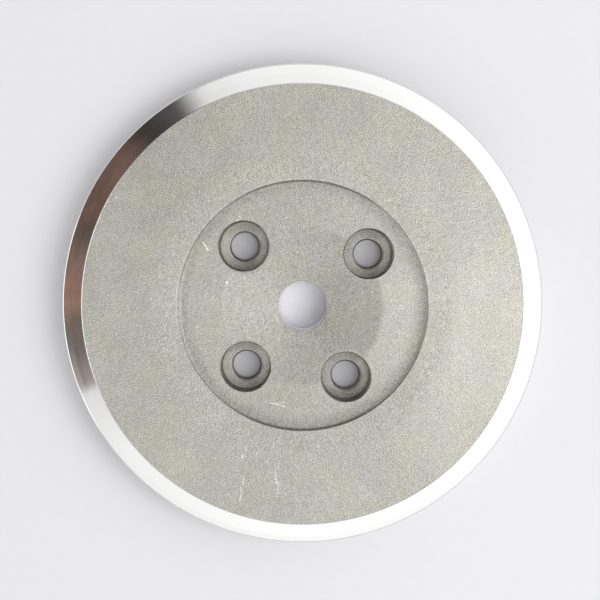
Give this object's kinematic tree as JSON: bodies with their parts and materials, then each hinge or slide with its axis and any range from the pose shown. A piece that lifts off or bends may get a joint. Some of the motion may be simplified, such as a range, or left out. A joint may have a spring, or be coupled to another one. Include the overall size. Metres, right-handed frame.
{
  "type": "small engine flywheel",
  "caption": "Flat round flywheel with a recessed, dished hub, a central bore, counterbored screw holes and a polished conical rim.",
  "frame": {"origin": "centre of the bore in the plane of the rear faces, where the flywheel seats on the crank flange", "axes": "+Z along the bore axis, out of the blasted front face; +X and +Y fix the turn of the uneven screw hole pattern"},
  "size_m": [0.1106, 0.1106, 0.009],
  "materials": {
    "hub_steel": "bead-blasted steel, warm grey, fine grain, satin sheen",
    "web_steel": "bead-blasted steel, warm grey, fine grain, satin sheen",
    "rim_steel": "turned and mirror-polished steel"
  },
  "bodies": {
    "root": {"hub_plate": "hub_steel", "web_disc": "web_steel", "rim_ring": "rim_steel"}
  },
  "joints": []
}
